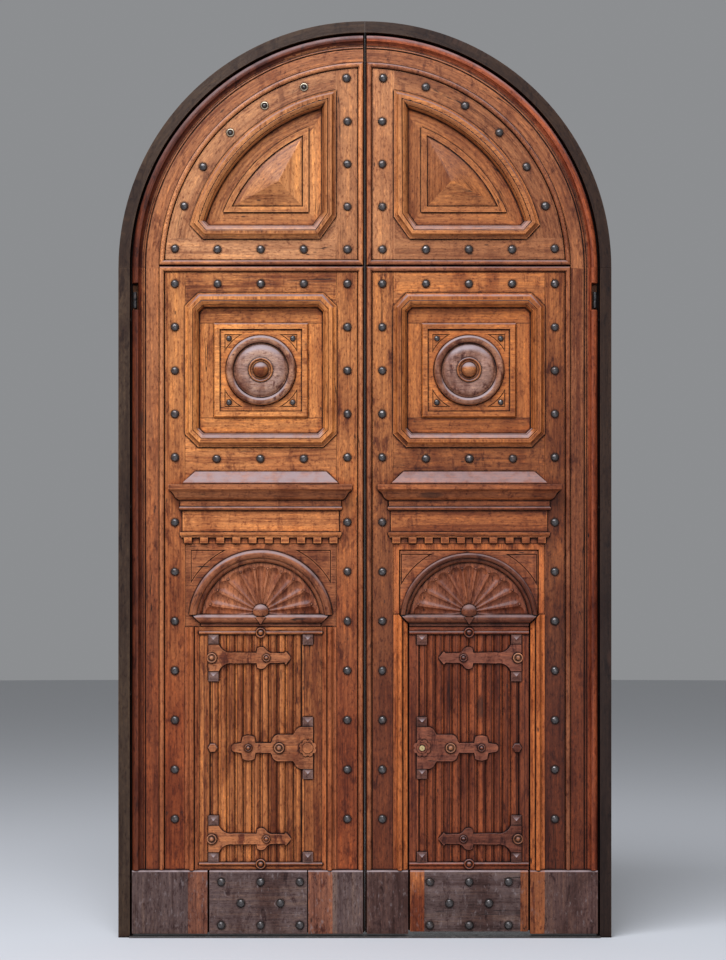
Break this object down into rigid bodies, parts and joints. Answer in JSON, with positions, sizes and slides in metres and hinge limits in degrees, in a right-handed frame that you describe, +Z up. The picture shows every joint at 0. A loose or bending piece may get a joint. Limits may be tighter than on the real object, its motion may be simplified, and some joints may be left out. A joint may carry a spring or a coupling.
{
  "type": "arched double entrance door",
  "caption": "Tall round-headed timber double door with moulded panels, turned bosses, shell niches, reeded boards, studs and a pass door, hung in its own arched frame.",
  "frame": {"origin": "on the floor under the threshold plate, at the middle of the doorway and in the plane 40 mm behind the frame's front face", "axes": "+X across the doorway to the right as seen from the street, +Y into the building, +Z up"},
  "size_m": [2.62, 0.2139, 4.87],
  "materials": {
    "varnished_wood": "satin varnish, weathered",
    "foot_wood": "dark, scuffed varnish",
    "strap_wood": "worn varnish",
    "plain_wood": "oiled",
    "wrought_iron": "dark, worn",
    "steel": "satin",
    "brass": "polished, handled"
  },
  "bodies": {
    "frame": {"left_post": "plain_wood", "right_post": "plain_wood", "arch_head": "plain_wood", "threshold": "wrought_iron", "frame_ironwork": "wrought_iron"},
    "left_leaf": {"left_border": "varnished_wood", "left_beads": "varnished_wood", "left_lunette_frame": "varnished_wood", "left_lunette_moulding": "varnished_wood", "left_lunette_panel": "varnished_wood", "left_framing": "varnished_wood", "left_panel_moulding": "varnished_wood", "left_upper_panel": "varnished_wood", "left_cornice": "varnished_wood", "left_frieze": "varnished_wood", "left_hinge_straps": "wrought_iron", "left_back_boards": "plain_wood", "left_surround": "varnished_wood", "left_kick_boards": "foot_wood", "left_studs": "wrought_iron", "left_spandrel_board": "varnished_wood", "left_fan_frame": "varnished_wood", "left_shell_fan": "varnished_wood", "left_reeded_panel": "varnished_wood", "left_panel_rails": "varnished_wood", "left_carved_straps": "strap_wood", "left_bolt_fittings": "wrought_iron"},
    "right_leaf": {"right_border": "varnished_wood", "right_beads": "varnished_wood", "right_lunette_frame": "varnished_wood", "right_lunette_moulding": "varnished_wood", "right_lunette_panel": "varnished_wood", "right_framing": "varnished_wood", "right_panel_moulding": "varnished_wood", "right_upper_panel": "varnished_wood", "right_cornice": "varnished_wood", "right_frieze": "varnished_wood", "right_hinge_straps": "wrought_iron", "right_back_boards": "plain_wood", "right_surround": "varnished_wood", "right_kick_boards": "foot_wood", "right_studs": "wrought_iron", "right_leaf_fittings": "wrought_iron"},
    "wicket": {"wicket_boards": "plain_wood", "wicket_spandrel_board": "varnished_wood", "wicket_fan_frame": "varnished_wood", "wicket_shell_fan": "varnished_wood", "wicket_reeded_panel": "varnished_wood", "wicket_panel_rails": "varnished_wood", "wicket_carved_straps": "strap_wood", "wicket_kick_board": "foot_wood", "wicket_studs": "wrought_iron", "wicket_hinge_straps": "wrought_iron", "lock_case": "steel", "key_cylinder": "brass"},
    "top_bolt": {"top_bolt": "steel"},
    "bottom_bolt": {"bottom_bolt": "steel"},
    "gate_bolt": {"gate_bolt": "steel"},
    "lock_bolt": {"lock_bolt": "steel"},
    "lock_knob": {"lock_knob": "brass"}
  },
  "joints": [
    {"name": "left_leaf_hinge", "type": "hinge", "parent": "frame", "child": "left_leaf", "pos_m": [-1.252, 0.067, 1.8], "axis": [0, 0, 1], "range_deg": [0, 95]},
    {"name": "right_leaf_hinge", "type": "hinge", "parent": "frame", "child": "right_leaf", "pos_m": [1.252, 0.067, 1.8], "axis": [0, 0, -1], "range_deg": [0, 95]},
    {"name": "wicket_hinge", "type": "hinge", "parent": "right_leaf", "child": "wicket", "pos_m": [0.942, 0.069, 1], "axis": [0, 0, -1], "range_deg": [0, 95]},
    {"name": "top_bolt_slide", "type": "slide", "parent": "left_leaf", "child": "top_bolt", "axis": [0, 0, 1], "range_m": [0, 0.05]},
    {"name": "bottom_bolt_slide", "type": "slide", "parent": "left_leaf", "child": "bottom_bolt", "axis": [0, 0, -1], "range_m": [0, 0.024]},
    {"name": "gate_bolt_slide", "type": "slide", "parent": "right_leaf", "child": "gate_bolt", "axis": [-1, 0, 0], "range_m": [0, 0.045]},
    {"name": "lock_knob_turn", "type": "hinge", "parent": "wicket", "child": "lock_knob", "pos_m": [0.304, 0.08, 1.007], "axis": [0, 1, 0], "range_deg": [0, 90]},
    {"name": "lock_bolt_slide", "type": "slide", "parent": "wicket", "child": "lock_bolt", "axis": [-1, 0, 0], "range_m": [0, 0.024]}
  ],
  "couplings": [
    {"joint": "lock_bolt_slide", "follows": "lock_knob_turn", "m_per_rad": 0.01527}
  ]
}
